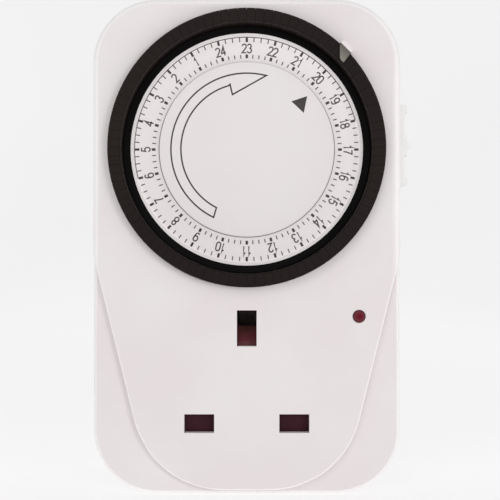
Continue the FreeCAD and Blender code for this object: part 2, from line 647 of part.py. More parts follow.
feature("dial_carrier", carrier)

scale = doc.addObject("PartDesign::Body", "dial_scale")
node(scale, "dial_scale")
s = sketch(scale, "ds_profile", "XY_Plane", "dial_z")
prof = [(8.0, 36.5), (27.4, 36.5), (27.4, 38.95), (26.75, 38.95), (26.6, 38.6), (8.0, 38.6)]
path(s, [("L", a[0], -a[1], b[0], -b[1]) for a, b in zip(prof, prof[1:] + prof[:1])])
rev = scale.newObject("PartDesign::Revolution", "ds_turn")
rev.Profile = s
rev.ReferenceAxis = (s, ["V_Axis"])
rev.Angle = 360.0

disc = doc.addObject("PartDesign::Body", "centre_disc")
node(disc, "centre_disc")
s = sketch(disc, "cd_disc_sketch", "XZ_Plane", "38.7")
circle(s, (0.0, "0"), (g("dial_z"), "dial_z"), (g("disc_rad"), "disc_rad"))
pad(disc, "cd_disc", s, "disc_thick")
s = sketch(disc, "cd_spigot_sketch", "XZ_Plane", "33.5")
circle(s, (0.0, "0"), (g("dial_z"), "dial_z"), (2.2, "2.2"))
pad(disc, "cd_spigot", s, "5.3")

# the 96 segments, one for every quarter of an hour, four to a node
half_head = math.degrees(math.radians(1.875) - g("tappet_gap") / 2 / 30.7)
inner_bevel = lathe([(T_IN - 0.1, T_TOP + 0.1), (T_IN + 0.35, T_TOP + 0.1), (T_IN - 0.1, T_TOP - 0.35)])


def tappet(mid):
    a0, a1 = mid - half_head, mid + half_head
    z = g("dial_z")
    d = 37.0
    outer = Part.Arc(pt(0, z, T_OUT, a0, d), pt(0, z, T_OUT, mid, d), pt(0, z, T_OUT, a1, d)).toShape()
    inner = Part.Arc(pt(0, z, T_IN, a1, d), pt(0, z, T_IN, mid, d), pt(0, z, T_IN, a0, d)).toShape()
    l1 = Part.makeLine(pt(0, z, T_OUT, a1, d), pt(0, z, T_IN, a1, d))
    l2 = Part.makeLine(pt(0, z, T_IN, a0, d), pt(0, z, T_OUT, a0, d))
    head = Part.Face(Part.Wire([outer, l1, inner, l2])).extrude(FRONT * (T_TOP - d))
    stem = Part.makeBox(1.1, 6.4, 1.2, Vector(30.2, -37.2, z - 0.6))
    foot = Part.makeBox(2.1, 1.4, 1.7, Vector(29.7, -32.2, z - 0.85))
    for b in (stem, foot):
        b.rotate(CENTRE, Vector(0, -1, 0), mid)
    return head.cut(inner_bevel).fuse([stem, foot]).removeSplitter()


for hour in range(1, 25):
    start = (hour - 17) * 15.0
    solids = []
    for q in range(4):
        t = tappet(start + 1.875 + 3.75 * q)
        solids.extend(t.Solids)
    feature("hour_%02d_tappets" % hour, Part.makeCompound(solids))

# fixed pointer that reaches in over the segments from the upper right
pointer = doc.addObject("PartDesign::Body", "time_pointer")
node(pointer, "time_pointer")
s = sketch(pointer, "tp_sketch", "XZ_Plane", "44.72")
corners = [(21.48, 46.57), (21.48, 43.62), (21.71, 43.09), (22.33, 42.52), (23.78, 44.36), (24.106, 44.686), (21.851, 46.941)]
path(s, [("L", p[0], p[1], q[0], q[1]) for p, q in zip(corners, corners[1:] + corners[:1])])
pad(pointer, "tp_tongue", s, "0.38")

# ------------------------------------------------------------- gear train

A = (0.0, g("dial_z") - (g("ring_teeth") - g("drive_teeth")) * g("ring_module") / 2.0)
B = (-13.0, 9.0)
C = (-12.0, -2.95)
M = (0.0, -3.0)
tm = g("train_module")


def ang(p, q):
    return math.degrees(math.atan2(q[1] - p[1], q[0] - p[0]))


# drive pinion on its arbor, in mesh with the ring gear behind the dial
dn = int(g("drive_teeth"))
feature("drive_pinion", gear(ring_m, dn, -90.0, A[0], A[1], 27.4, 31.6).fuse([rod(A[0], A[1], 1.5, 13.4, 27.6)]))
# clutch wheel: turns with the train and slips on the arbor
wheel = gear(tm, 60, ang(A, B), A[0], A[1], 18.4, 19.8).fuse(rod(A[0], A[1], 3.2, 17.6, 20.6))
wheel = wheel.cut(rod(A[0], A[1], 1.55, 17.0, 21.0))
feature("clutch_wheel", wheel)
washer = rod(A[0], A[1], 4.2, 20.8, 21.2).fuse(rod(A[0], A[1], 2.4, 21.2, 23.6)).cut(rod(A[0], A[1], 1.5, 20.0, 24.0))
feature("clutch_spring", washer)
# second wheel at B, third wheel at C
w = gear(tm, 50, ang(B, C), B[0], B[1], 16.2, 17.4).fuse(gear(tm, 10, ang(B, A) + 180.0 / 10, B[0], B[1], 17.3, 20.4))
w = w.cut(rod(B[0], B[1], 0.65, 15.0, 22.0))
feature("second_wheel", w)
w = gear(tm, 50, ang(C, M) + 180.0 / 50, C[0], C[1], 14.0, 15.2).fuse(gear(tm, 10, ang(C, B) + 180.0 / 10, C[0], C[1], 15.1, 17.8))
w = w.cut(rod(C[0], C[1], 0.65, 13.0, 19.0))
feature("third_wheel", w)
# rotor: magnet, shaft and its pinion
rotor = rod(M[0], M[1], 7.4, 4.6, 10.6).fuse([rod(M[0], M[1], 0.75, 3.4, 16.0), gear(tm, 10, ang(M, C), M[0], M[1], 13.5, 15.8)])
feature("motor_rotor", rotor)

# fixed steel pins: two arbors of the train and the pin of the follower lever
node(group("arbors_and_lever_pin", [
    cyl("arbor_b", B[0], B[1], 0.6, 12.0, 20.9), cyl("arbor_c", C[0], C[1], 0.6, 12.0, 18.2),
    xcyl("lever_pin", 14.6, 22.8, 23.0, 29.0, 1.0)]), "arbors_and_lever_pin")

motor_plate_solid = box("motor_plate_flat", -20.8, 20.8, 12.0, 13.2, -17.3, 23.3)
motor_plate_cuts = fuse("motor_plate_cuts", [
    cyl("mp_shaft_hole", M[0], M[1], 1.3, 11.0, 14.0),
    cyl("mp_arbor_b", B[0], B[1], 0.61, 11.0, 14.0),
    cyl("mp_arbor_c", C[0], C[1], 0.61, 11.0, 14.0),
] + [cyl("mp_screw%d" % k, px, pz, 0.9, 11.0, 14.0) for k, (px, pz) in enumerate(MOTOR_POSTS)])
node(cut("motor_plate", motor_plate_solid, motor_plate_cuts), "motor_plate")
can = cut("motor_can", cyl("motor_can_out", M[0], M[1], 15.0, 3.0, 12.0),
          fuse("motor_can_cuts", [cyl("motor_can_in", M[0], M[1], 14.3, 3.7, 11.4),
                                  cyl("motor_can_hole", M[0], M[1], 1.3, 11.0, 13.0),
                                  cyl("motor_can_seat", M[0], M[1], 0.8, 3.2, 4.0)]))
node(can, "motor_can")
node(cut("motor_coil", cyl("motor_coil_out", M[0], M[1], 14.0, 4.2, 11.0),
         cyl("motor_coil_in", M[0], M[1], 8.2, 4.0, 11.2)), "motor_coil")

# -------------------------------------------- follower lever and its switch

lever_bar = box("lever_bar", 16.9, 20.5, 21.8, 24.2, 29.0, 48.2)
lever_hub = xcyl("lever_hub", 16.5, 20.9, 23.0, 29.0, 2.1)
lever_nose = box("lever_nose", 17.7, 19.7, 24.0, 30.3, 46.6, 48.2)
node(cut("follower_lever", fuse("follower_lever_solid", [lever_bar, lever_hub, lever_nose]),
         xcyl("lever_bore", 16.0, 21.5, 23.0, 29.0, 1.06)), "follower_lever")
switch_solid = box("microswitch_block", 14.9, 22.5, 6.0, 19.2, 34.0, 47.0)
switch_base = box("microswitch_foot", 14.9, 22.5, 2.4, 6.2, 36.0, 45.0)
node(cut("microswitch", fuse("microswitch_solid", [switch_solid, switch_base]),
         cyl("microswitch_bore", 18.7, 41.0, 0.95, 13.0, 20.0)), "microswitch")
node(cyl("microswitch_plunger", 18.7, 41.0, 0.85, 14.8, 21.6), "microswitch_plunger")

# ------------------------------------------------------- side slide switch

sz = g("slide_z")
bezel_solid = fuse("bezel_solid", [
    box("bezel_low", 36.0, 39.0, 20.5, 31.0, sz - 9.75, sz - 7.85),
    box("bezel_high", 36.0, 39.0, 20.5, 31.0, sz + 7.85, sz + 9.75),
    box("bezel_rail_a", 36.0, 38.4, 20.5, 21.7, sz - 8.85, sz + 8.85),
    box("bezel_rail_b", 36.0, 38.4, 29.8, 31.0, sz - 8.85, sz + 8.85),
    box("bezel_floor", 36.0, 36.6, 21.0, 30.5, sz - 8.85, sz + 8.85),
])
node(cut("slider_bezel", bezel_solid, box("bezel_slot", 35.0, 40.0, 24.0, 27.0, sz - 7.75, sz + 7.65)),
     "slider_bezel")
slider = doc.addObject("PartDesign::Body", "override_slider")
node(slider, "override_slider")
s = sketch(slider, "os_knob_sketch", "XY_Plane", "slide_z-2.65")
prof = [(36.7, 22.0), (39.2, 22.0), (39.2, 29.5), (36.7, 29.5)]
path(s, [("L", p[0], -p[1], q[0], -q[1]) for p, q in zip(prof, prof[1:] + prof[:1])])
pad(slider, "os_knob", s, "5")
s = sketch(slider, "os_ridge_sketch", "XZ_Plane", "22")
prof = [(39.1, sz - 1.65), (40.3, sz - 0.65), (40.3, sz + 0.35), (39.1, sz + 1.35)]
path(s, [("L", p[0], p[1], q[0], q[1]) for p, q in zip(prof, prof[1:] + prof[:1])])
pad(slider, "os_ridge", s, "7.5")
s = sketch(slider, "os_neck_sketch", "XZ_Plane", "24.1")
rect(s, (32.5, "32.5"), (36.9, "36.9"), (sz - 2.45, "slide_z-2.45"), (sz + 2.15, "slide_z+2.15"))
pad(slider, "os_neck", s, "2.8")
s = sketch(slider, "os_plate_sketch", "XZ_Plane", "20.2")
rect(s, (31.7, "31.7"), (33.4, "33.4"), (sz - 4.15, "slide_z-4.15"), (sz + 3.85, "slide_z+3.85"))
pad(slider, "os_plate", s, "7.4")

# ------------------------------------------------------------- indicator

lens = doc.addObject("PartDesign::Body", "neon_lens")
node(lens, "neon_lens")
s = sketch(lens, "nl_sketch", "XZ_Plane", "39.7")
circle(s, (g("neon_x"), "neon_x"), (g("neon_z"), "neon_z"), (g("neon_rad"), "neon_rad"))
pad(lens, "nl_body", s, "2.55")
fillet(lens, "nl_dome", lambda e: same(e, "y", -42.25), "0.5")
s = sketch(lens, "nl_flange_sketch", "XZ_Plane", "38.8")
circle(s, (g("neon_x"), "neon_x"), (g("neon_z"), "neon_z"), (2.2, "2.2"))
pad(lens, "nl_flange", s, "1.0")
node(cyl("neon_lamp", g("neon_x"), g("neon_z"), 1.7, 29.0, 38.6), "neon_lamp")

# ---------------------------------------------------------- plug and pins


def pin(name, x, z, w, ht, length, sleeved):
    body = doc.addObject("PartDesign::Body", name)
    node(body, name)
    reach = g("sleeve_len") if sleeved else 0.0
    s = sketch(body, name + "_tip_sk", "XZ_Plane", "-%g" % length)
    rect(s, (x - w / 2, "%g" % (x - w / 2)), (x + w / 2, "%g" % (x + w / 2)),
         (z - ht / 2, "%g" % (z - ht / 2)), (z + ht / 2, "%g" % (z + ht / 2)))
    pad(body, name + "_tip", s, "%g" % (length - reach if sleeved else length + 9.0))
    fillet(body, name + "_round", lambda e: same(e, "y", length), "0.9")
    if sleeved:
        s = sketch(body, name + "_core_sk", "XZ_Plane", "-%g" % reach)
        rect(s, (x - w / 2 + 0.6, "%g" % (x - w / 2 + 0.6)), (x + w / 2 - 0.6, "%g" % (x + w / 2 - 0.6)),
             (z - ht / 2 + 0.6, "%g" % (z - ht / 2 + 0.6)), (z + ht / 2 - 0.6, "%g" % (z + ht / 2 - 0.6)))
        pad(body, name + "_core", s, "%g" % (reach + 9.0))
    s = sketch(body, name + "_flange_sk", "XZ_Plane", "back_wall+0.02")
    rect(s, (x - w / 2 - 1.2, "%g" % (x - w / 2 - 1.2)), (x + w / 2 + 1.2, "%g" % (x + w / 2 + 1.2)),
         (z - ht / 2 - 1.2, "%g" % (z - ht / 2 - 1.2)), (z + ht / 2 + 1.2, "%g" % (z + ht / 2 + 1.2)))
    pad(body, name + "_flange", s, "1.6")
    return body


pin("plug_pin_earth", 0.0, g("plug_earth_z"), g("pin_thick"), g("earth_pin_w"), g("earth_pin_len"), False)
pin("plug_pin_live", g("ln_x"), g("plug_ln_z"), g("ln_pin_w"), g("pin_thick"), g("ln_pin_len"), True)
pin("plug_pin_neutral", -g("ln_x"), g("plug_ln_z"), g("ln_pin_w"), g("pin_thick"), g("ln_pin_len"), True)
sleeves = []
for k, sx in enumerate((1, -1)):
    x, z = sx * g("ln_x"), g("plug_ln_z")
    w, h = g("ln_pin_w") / 2, g("pin_thick") / 2
    sleeves.append(cut("sleeve%d" % k, box("sleeve_out%d" % k, x - w, x + w, -g("sleeve_len"), 2.4, z - h, z + h),
                       box("sleeve_in%d" % k, x - w + 0.6, x + w - 0.6, -g("sleeve_len") - 1, 3.0, z - h + 0.6, z + h - 0.6)))
node(group("pin_sleeves", sleeves), "pin_sleeves")

# --------------------------------------------------- socket contact strips


def clip(name, x, z, half_x, gap, d_base, d_top, along):
    """Spring contact: base and two leaves, each side of the entering pin."""
    if along == "x":
        return [box(name + "_base", x - half_x, x + half_x, d_base, d_base + 0.8, z - gap - 0.7, z + gap + 0.7),
                box(name + "_leaf_a", x - half_x, x + half_x, d_base, d_top, z + gap, z + gap + 0.7),
                box(name + "_leaf_b", x - half_x, x + half_x, d_base, d_top, z - gap - 0.7, z - gap)]
    return [box(name + "_base", x - gap - 0.7, x + gap + 0.7, d_base, d_base + 0.8, z - half_x, z + half_x),
            box(name + "_leaf_a", x + gap, x + gap + 0.7, d_base, d_top, z - half_x, z + half_x),
            box(name + "_leaf_b", x - gap - 0.7, x - gap, d_base, d_top, z - half_x, z + half_x)]


node(fuse("neutral_strip", clip("nclip", -11.1, -41.2, 3.0, 2.05, 21.0, 35.5, "x") + [
    box("n_post", -12.3, -9.9, 8.0, 21.4, -41.8, -40.6),
    box("n_low", -29.0, -9.9, 8.0, 8.8, -43.0, -40.0),
    box("n_side", -29.0, -26.0, 8.0, 8.8, -43.0, 17.3),
    box("n_top", -29.0, -13.7, 8.0, 8.8, 14.3, 17.3)]), "neutral_strip")
live_switched = fuse("live_switched", clip("lclip", 11.1, -41.2, 3.0, 2.05, 21.0, 35.5, "x") + [
    box("l_post", 9.9, 12.3, 8.0, 21.4, -41.8, -40.6),
    box("l_low", 9.9, 29.0, 8.0, 8.8, -43.0, -40.0),
    box("l_side", 26.0, 29.0, 8.0, 8.8, -43.0, 34.0),
    box("l_top", 16.5, 29.0, 8.0, 8.8, 31.0, 34.0)])
live_feed = fuse("live_feed", [
    box("lf_up", 9.6, 12.6, 9.0, 9.8, 14.3, 40.0),
    box("lf_side", 9.6, 14.9, 9.0, 9.8, 37.0, 40.0)])
node(group("live_strips", [live_switched, live_feed]), "live_strips")
# the earth clip is open at the back: its leaves are joined below the pin
node(fuse("earth_strip", [
    box("eclip_leaf_a", 2.05, 2.75, 17.9, 32.2, -23.6, -15.1),
    box("eclip_leaf_b", -2.75, -2.05, 17.9, 32.2, -23.6, -15.1),
    box("eclip_web", -2.75, 2.75, 17.9, 32.2, -23.6, -22.9),
    box("e_post", -1.2, 1.2, 10.4, 18.2, -23.6, -22.9),
    box("e_low", -24.0, 1.2, 10.4, 11.2, -24.6, -21.6),
    box("e_side", -24.0, -21.0, 10.4, 11.2, -24.6, 39.5),
    box("e_top", -24.0, 1.5, 10.4, 11.2, 36.5, 39.5),
    box("e_tab", -1.5, 1.5, 9.0, 10.6, 36.5, 39.5)]), "earth_strip")

# black moulding behind the shutter that shrouds the three clips
carrier_solid = fuse("contact_carrier_solid", [
    box("cc_plate", -16.5, 16.5, 16.6, 17.7, -45.5, -13.5),
    box("cc_earth", -4.2, 4.2, 17.0, 33.2, -25.2, -13.5),
    box("cc_live", 6.9, 15.3, 17.0, 35.6, -45.0, -37.4),
    box("cc_neutral", -15.3, -6.9, 17.0, 35.6, -45.0, -37.4),
    cyl("cc_leg_a", 14.3, -30.0, 2.0, 2.4, 17.0),
    cyl("cc_leg_b", -14.3, -30.0, 2.0, 2.4, 17.0)])
carrier_cuts = fuse("contact_carrier_cuts", [
    box("cc_earth_in", -3.0, 3.0, 17.7, 32.4, -23.9, -14.3),
    box("cc_earth_mouth", -2.06, 2.06, 32.0, 36.0, -23.1, -14.9),
    box("cc_live_in", 7.7, 14.5, 17.7, 36.0, -44.2, -38.2),
    box("cc_neutral_in", -14.5, -7.7, 17.7, 36.0, -44.2, -38.2),
    box("cc_earth_way", -1.4, 1.4, 16.0, 18.5, -23.8, -22.7),
    box("cc_live_way", 9.7, 12.5, 16.0, 18.5, -42.0, -40.4),
    box("cc_neutral_way", -12.5, -9.7, 16.0, 18.5, -42.0, -40.4)])
node(cut("contact_carrier", carrier_solid, carrier_cuts), "contact_carrier")

# ------------------------------------------------------ shutter and spring

shutter = doc.addObject("PartDesign::Body", "shutter")
node(shutter, "shutter")
s = sketch(shutter, "sh_plate_sketch", "XZ_Plane", "37.2")
prof = [(-15.4, -43.9), (15.4, -43.9), (15.4, -38.5), (3.5, -38.5), (3.5, -24.0), (-3.5, -24.0), (-3.5, -38.5), (-15.4, -38.5)]
path(s, [("L", p[0], p[1], q[0], q[1]) for p, q in zip(prof, prof[1:] + prof[:1])])
pad(shutter, "sh_plate", s, "2.2")
s = sketch(shutter, "sh_ramp_sketch", "YZ_Plane", "-2.2")
prof = [(-39.4, -24.2), (-39.4, -22.4), (-35.4, -18.8), (-33.6, -18.8), (-33.6, -24.2)]
path(s, [("L", p[0], p[1], q[0], q[1]) for p, q in zip(prof, prof[1:] + prof[:1])])
pad(shutter, "sh_ramp", s, "4.4")


def spring(name, x, d, z0, z1, r, wire, turns):
    """Coil spring along Z, with its wire swept round a helix."""
    h = Part.makeHelix((z1 - z0 - wire) / turns, z1 - z0 - wire, r)
    p0 = h.Edges[0].valueAt(h.Edges[0].FirstParameter)
    t0 = h.Edges[0].tangentAt(h.Edges[0].FirstParameter)
    prof = Part.Wire([Part.makeCircle(wire / 2, p0, t0)])
    s = Part.Wire(h.Edges).makePipeShell([prof], True, True)
    s.translate(Vector(x, -d, z0 + wire / 2))
    return s


feature("shutter_spring", spring("shutter_spring", 0.0, 37.9, -54.2, -44.1, 1.25, 0.4, 6))

# ---------------------------------------------------------- check and write

doc.recompute()
bad = []
for o in doc.Objects:
    if "Invalid" in o.State or "Error" in o.State:
        bad.append("%s %s" % (o.Name, o.State))
for label, o in NODES:
    if o.Shape.isNull() or not o.Shape.isValid() or o.Shape.Volume <= 0:
        bad.append("%s shape" % label)
if len(NODES) != len(set(n for n, o in NODES)):
    bad.append("two nodes share a name")
if bad:
    raise RuntimeError("; ".join(bad))
os.makedirs("parts", exist_ok=True)
for label, o in NODES:
    o.Shape.exportStep("parts/%s.step" % label)
    b = o.Shape.BoundBox
    print("%-22s %2d solids %9.2f mm3  x %.2f %.2f  y %.2f %.2f  z %.2f %.2f" % (
        label, len(o.Shape.Solids), o.Shape.Volume, b.XMin, b.XMax, b.YMin, b.YMax, b.ZMin, b.ZMax))
print(len(NODES), "nodes")
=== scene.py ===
import json
import math
import bpy
import bmesh
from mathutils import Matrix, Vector


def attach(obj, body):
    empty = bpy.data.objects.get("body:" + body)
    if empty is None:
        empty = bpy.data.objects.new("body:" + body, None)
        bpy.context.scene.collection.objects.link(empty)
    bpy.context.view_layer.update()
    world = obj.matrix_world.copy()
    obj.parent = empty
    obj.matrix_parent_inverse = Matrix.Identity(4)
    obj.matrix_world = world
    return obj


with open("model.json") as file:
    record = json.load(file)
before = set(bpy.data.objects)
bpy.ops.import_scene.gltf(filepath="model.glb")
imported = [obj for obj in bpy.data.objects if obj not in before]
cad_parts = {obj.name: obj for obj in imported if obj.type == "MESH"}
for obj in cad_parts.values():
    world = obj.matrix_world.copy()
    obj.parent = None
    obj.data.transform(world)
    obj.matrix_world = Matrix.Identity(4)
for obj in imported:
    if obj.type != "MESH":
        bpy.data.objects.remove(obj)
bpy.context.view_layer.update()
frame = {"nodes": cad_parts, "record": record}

nodes = frame["nodes"]
MM = 0.001
DIAL_Z = 23.0
scene = bpy.context.scene

# ------------------------------------------------------------------ camera
# px in the 500 x 500 frame: 4.29 px per mm on the socket face, 260 mm away
CAM_X, CAM_Z = 0.758, -0.723
FACE_D, CAM_AWAY = 42.0, 260.0
PX_PER_MM = 4.29


def at_px(px, py, depth):
    """Model x and z, in mm, of a point of the frame that lies at this depth."""
    s = PX_PER_MM * CAM_AWAY / (CAM_AWAY + FACE_D - depth)
    return CAM_X + (px - 250.0) / s, CAM_Z + (250.0 - py) / s


cam_data = bpy.data.cameras.new("camera")
cam_data.sensor_width = 36.0
cam_data.lens = 36.0 * PX_PER_MM * CAM_AWAY / 500.0
cam_data.clip_start = 0.01
cam_data.clip_end = 20.0
cam = bpy.data.objects.new("camera", cam_data)
scene.collection.objects.link(cam)
cam.location = (CAM_X * MM, -(FACE_D + CAM_AWAY) * MM, CAM_Z * MM)
cam.rotation_euler = (math.radians(90), 0, 0)
scene.camera = cam

# --------------------------------------------------------------- materials


class Mat:
    """Small helper for one procedural node material."""

    def __init__(self, name):
        self.mat = bpy.data.materials.new(name)
        self.mat.use_nodes = True
        self.nt = self.mat.node_tree
        self.bsdf = self.nt.nodes["Principled BSDF"]
        self.tc = self.nt.nodes.new("ShaderNodeTexCoord")

    def n(self, kind, **props):
        node = self.nt.nodes.new(kind)
        for k, v in props.items():
            setattr(node, k, v)
        return node

    def link(self, a, b):
        self.nt.links.new(a, b)

    def coords(self, scale=(1, 1, 1)):
        m = self.n("ShaderNodeMapping")
        m.inputs["Scale"].default_value = scale
        self.link(self.tc.outputs["Object"], m.inputs["Vector"])
        return m.outputs["Vector"]

    def noise(self, scale, detail=4.0, rough=0.5, vec=None, distortion=0.0):
        t = self.n("ShaderNodeTexNoise")
        t.inputs["Scale"].default_value = scale
        t.inputs["Detail"].default_value = detail
        t.inputs["Roughness"].default_value = rough
        t.inputs["Distortion"].default_value = distortion
        self.link(vec if vec is not None else self.tc.outputs["Object"], t.inputs["Vector"])
        return t.outputs["Fac"]

    def ramp(self, fac, stops):
        r = self.n("ShaderNodeValToRGB")
        els = r.color_ramp.elements
        els[0].position, els[0].color = stops[0][0], tuple(stops[0][1]) + (1,)
        els[1].position, els[1].color = stops[-1][0], tuple(stops[-1][1]) + (1,)
        for p, c in stops[1:-1]:
            e = els.new(p)
            e.color = tuple(c) + (1,)
        self.link(fac, r.inputs["Fac"])
        return r.outputs["Color"]

    def remap(self, fac, lo, hi, a=0.3, b=0.7):
        m = self.n("ShaderNodeMapRange")
        m.inputs["From Min"].default_value = a
        m.inputs["From Max"].default_value = b
        m.inputs["To Min"].default_value = lo
        m.inputs["To Max"].default_value = hi
        self.link(fac, m.inputs["Value"])
        return m.outputs["Result"]

    def span(self, vec, axis, lo, hi):
        """0 to 1 along one axis of the piece, between two places in mm."""
        sep = self.n("ShaderNodeSeparateXYZ")
        self.link(vec, sep.inputs["Vector"])
        return self.remap(sep.outputs["XYZ".index(axis)], 0.0, 1.0, lo * MM, hi * MM)

    def ring(self, x, z, lo, hi):
        """0 to 1 with the distance from an axis along the depth, in mm."""
        sub = self.n("ShaderNodeVectorMath", operation="SUBTRACT")
        self.link(self.tc.outputs["Object"], sub.inputs[0])
        sub.inputs[1].default_value = (x * MM, 0, z * MM)
        flat = self.n("ShaderNodeVectorMath", operation="MULTIPLY")
        self.link(sub.outputs["Vector"], flat.inputs[0])
        flat.inputs[1].default_value = (1, 0, 1)
        size = self.n("ShaderNodeVectorMath", operation="LENGTH")
        self.link(flat.outputs["Vector"], size.inputs[0])
        return self.remap(size.outputs["Value"], 0.0, 1.0, lo * MM, hi * MM)

    def mix(self, fac, a, b, blend="MIX"):
        m = self.n("ShaderNodeMix", data_type="RGBA", blend_type=blend)
        if isinstance(fac, float):
            m.inputs["Factor"].default_value = fac
        else:
            self.link(fac, m.inputs["Factor"])
        self.link(a, m.inputs[6])
        self.link(b, m.inputs[7])
        return m.outputs[2]

    def bump(self, height, strength, distance, prev=None):
        b = self.n("ShaderNodeBump")
        b.inputs["Strength"].default_value = strength
        b.inputs["Distance"].default_value = distance
        self.link(height, b.inputs["Height"])
        if prev is not None:
            self.link(prev, b.inputs["Normal"])
        return b.outputs["Normal"]

    def out(self, colour=None, rough=None, normal=None, **consts):
        if colour is not None:
            self.link(colour, self.bsdf.inputs["Base Color"])
        if rough is not None:
            self.link(rough, self.bsdf.inputs["Roughness"])
        if normal is not None:
            self.link(normal, self.bsdf.inputs["Normal"])
        for k, v in consts.items():
            self.bsdf.inputs[k.replace("_", " ")].default_value = v
        return self.mat


def srgb(r, g, b):
    def f(c):
        c = c / 255.0
        return c / 12.92 if c <= 0.04045 else ((c + 0.055) / 1.055) ** 2.4
    return (f(r), f(g), f(b))


def moulded(name, lo, hi, rough_lo, rough_hi, grain=2600.0, depth=0.000012, strength=0.35, blotch=38.0, **consts):
    """Moulded plastic: faint clouding of the tint, a fine spark-eroded grain and a little handling polish."""
    m = Mat(name)
    cloud = m.noise(blotch, 3.0, 0.55)
    fine = m.noise(grain, 2.0, 0.6)
    polish = m.noise(90.0, 5.0, 0.6)
    col = m.ramp(cloud, [(0.32, lo), (0.68, hi)])
    rough = m.remap(polish, rough_lo, rough_hi)
    wave = m.noise(120.0, 2.0, 0.5)
    nrm = m.bump(fine, strength, depth)
    nrm = m.bump(wave, 0.12, 0.00006, nrm)
    return m.out(col, rough, nrm, **consts)


def metal(name, lo, hi, rough_lo, rough_hi, scale=(1, 1, 1), brush=900.0, **consts):
    m = Mat(name)
    v = m.coords(scale)
    lines = m.noise(brush, 3.0, 0.6, v)
    stain = m.noise(140.0, 4.0, 0.6)
    col = m.ramp(stain, [(0.3, lo), (0.7, hi)])
    rough = m.remap(lines, rough_lo, rough_hi)
    nrm = m.bump(lines, 0.25, 0.00002)
    return m.out(col, rough, nrm, Metallic=1.0, **consts)


def case_white():
    """Moulded white of the case, with a painted highlight along its rounded edges, picked out by the surface normal.
    """
    m = Mat("case_white")
    cloud = m.noise(38.0, 3.0, 0.55)
    flat = m.ramp(cloud, [(0.32, srgb(230, 222, 223)), (0.68, srgb(234, 229, 229))])
    # painted highlight: a paler copy of the tint for the rounded edges
    painted_highlight_tint = m.ramp(cloud, [(0.32, srgb(249, 244, 245)), (0.68, srgb(252, 249, 249))])
    # painted highlight mask from the normal: on faces tilted between the front and the sides
    dot = m.n("ShaderNodeVectorMath", operation="DOT_PRODUCT")
    m.link(m.tc.outputs["Normal"], dot.inputs[0])
    dot.inputs[1].default_value = (0, -1, 0)
    edge = m.ramp(dot.outputs["Value"], [(0.0, (0, 0, 0)), (0.15, (1, 1, 1)), (0.9, (1, 1, 1)), (0.985, (0, 0, 0))])
    # no painted highlight on the block over the pointer, which keeps the plain tint
    highlight_off_at_pointer = m.ramp(m.ring(24.3, DIAL_Z + 24.3, 4.0, 6.0), [(0.0, (0, 0, 0)), (1.0, (1, 1, 1))])
    edge = m.mix(1.0, edge, highlight_off_at_pointer, "MULTIPLY")
    nrm = m.bump(m.noise(2600.0, 2.0, 0.6), 0.35, 0.000012)
    nrm = m.bump(m.noise(120.0, 2.0, 0.5), 0.12, 0.00006, nrm)
    return m.out(m.mix(edge, flat, painted_highlight_tint), m.remap(m.noise(90.0, 5.0, 0.6), 0.34, 0.44), nrm, Specular_IOR_Level=0.45)


CASE = case_white()


def dial_white():
    """Printed white of the dial, whiter out towards the rim: painted light there, against the shade of the raised
    ring of segments.
    """
    m = Mat("dial_white")
    # painted light mask: 0 within 20.8 mm of the dial centre, 1 beyond 26.4 mm
    out = m.ring(0.0, DIAL_Z, 20.8, 26.4)
    inner = m.ramp(m.noise(38.0, 3.0, 0.55), [(0.32, srgb(231, 223, 224)), (0.68, srgb(233, 228, 228))])
    # the paler tint towards the rim is painted light
    outer = m.ramp(m.noise(60.0, 3.0, 0.55), [(0.32, srgb(250, 243, 243)), (0.68, srgb(252, 247, 246))])
    nrm = m.bump(m.noise(3600.0, 2.0, 0.6), 0.15, 0.000012)
    return m.out(m.mix(out, inner, outer), m.remap(m.noise(90.0, 5.0, 0.6), 0.42, 0.52), nrm)


DIALW = dial_white()
BLACK = moulded("segment_black", srgb(23, 15, 13), srgb(30, 21, 18), 0.42, 0.55, grain=2400.0, strength=0.5, Specular_IOR_Level=0.14)
BLACKIN = moulded("carrier_black", srgb(3, 2, 2), srgb(6, 4, 4), 0.5, 0.65, Specular_IOR_Level=0.12)


def pointer_grey():
    """Grey moulding, with painted shade making it darker towards its root at the rim of the dial opening."""
    m = Mat("pointer_grey")
    fine = m.noise(2600.0, 2.0, 0.6)
    # painted shade: darker outwards, from 29.4 mm to 32.6 mm off the dial centre
    col = m.ramp(m.ring(0.0, DIAL_Z, 29.4, 32.6), [(0.0, srgb(136, 133, 124)), (0.55, srgb(112, 109, 100)), (1.0, srgb(88, 85, 78))])
    tone = m.ramp(m.noise(300.0, 3.0, 0.55), [(0.3, (0.93, 0.93, 0.93)), (0.7, (1.0, 1.0, 1.0))])
    return m.out(m.mix(1.0, col, tone, "MULTIPLY"), m.remap(m.noise(200.0), 0.4, 0.55), m.bump(fine, 0.35, 0.000012),
                 Specular_IOR_Level=0.3)


def shutter_maroon():
    """Dark red moulding; its ramp under the earth slot is painted paler as painted light, a little darker towards
    its top as painted shade.
    """
    m = Mat("shutter_maroon")
    fine = m.noise(2600.0, 2.0, 0.6)
    cloud = m.noise(60.0, 3.0, 0.55)
    plate = m.ramp(cloud, [(0.32, srgb(56, 19, 31)), (0.68, srgb(66, 24, 37))])
    # painted light on the earth ramp, with painted shade towards its top
    ramp = m.ramp(m.span(m.tc.outputs["Object"], "Z", -23.0, -18.9),
                  [(0.0, srgb(101, 60, 62)), (0.35, srgb(105, 50, 57)), (1.0, srgb(94, 56, 50))])
    # painted light mask: the paler ramp colour above z -27 mm, the plain plate below -30 mm
    earth_ramp_light_mask = m.span(m.tc.outputs["Object"], "Z", -30.0, -27.0)
    return m.out(m.mix(earth_ramp_light_mask, plate, ramp), m.remap(m.noise(150.0, 4.0), 0.45, 0.62), m.bump(fine, 0.35, 0.000012),
                 Specular_IOR_Level=0.15)


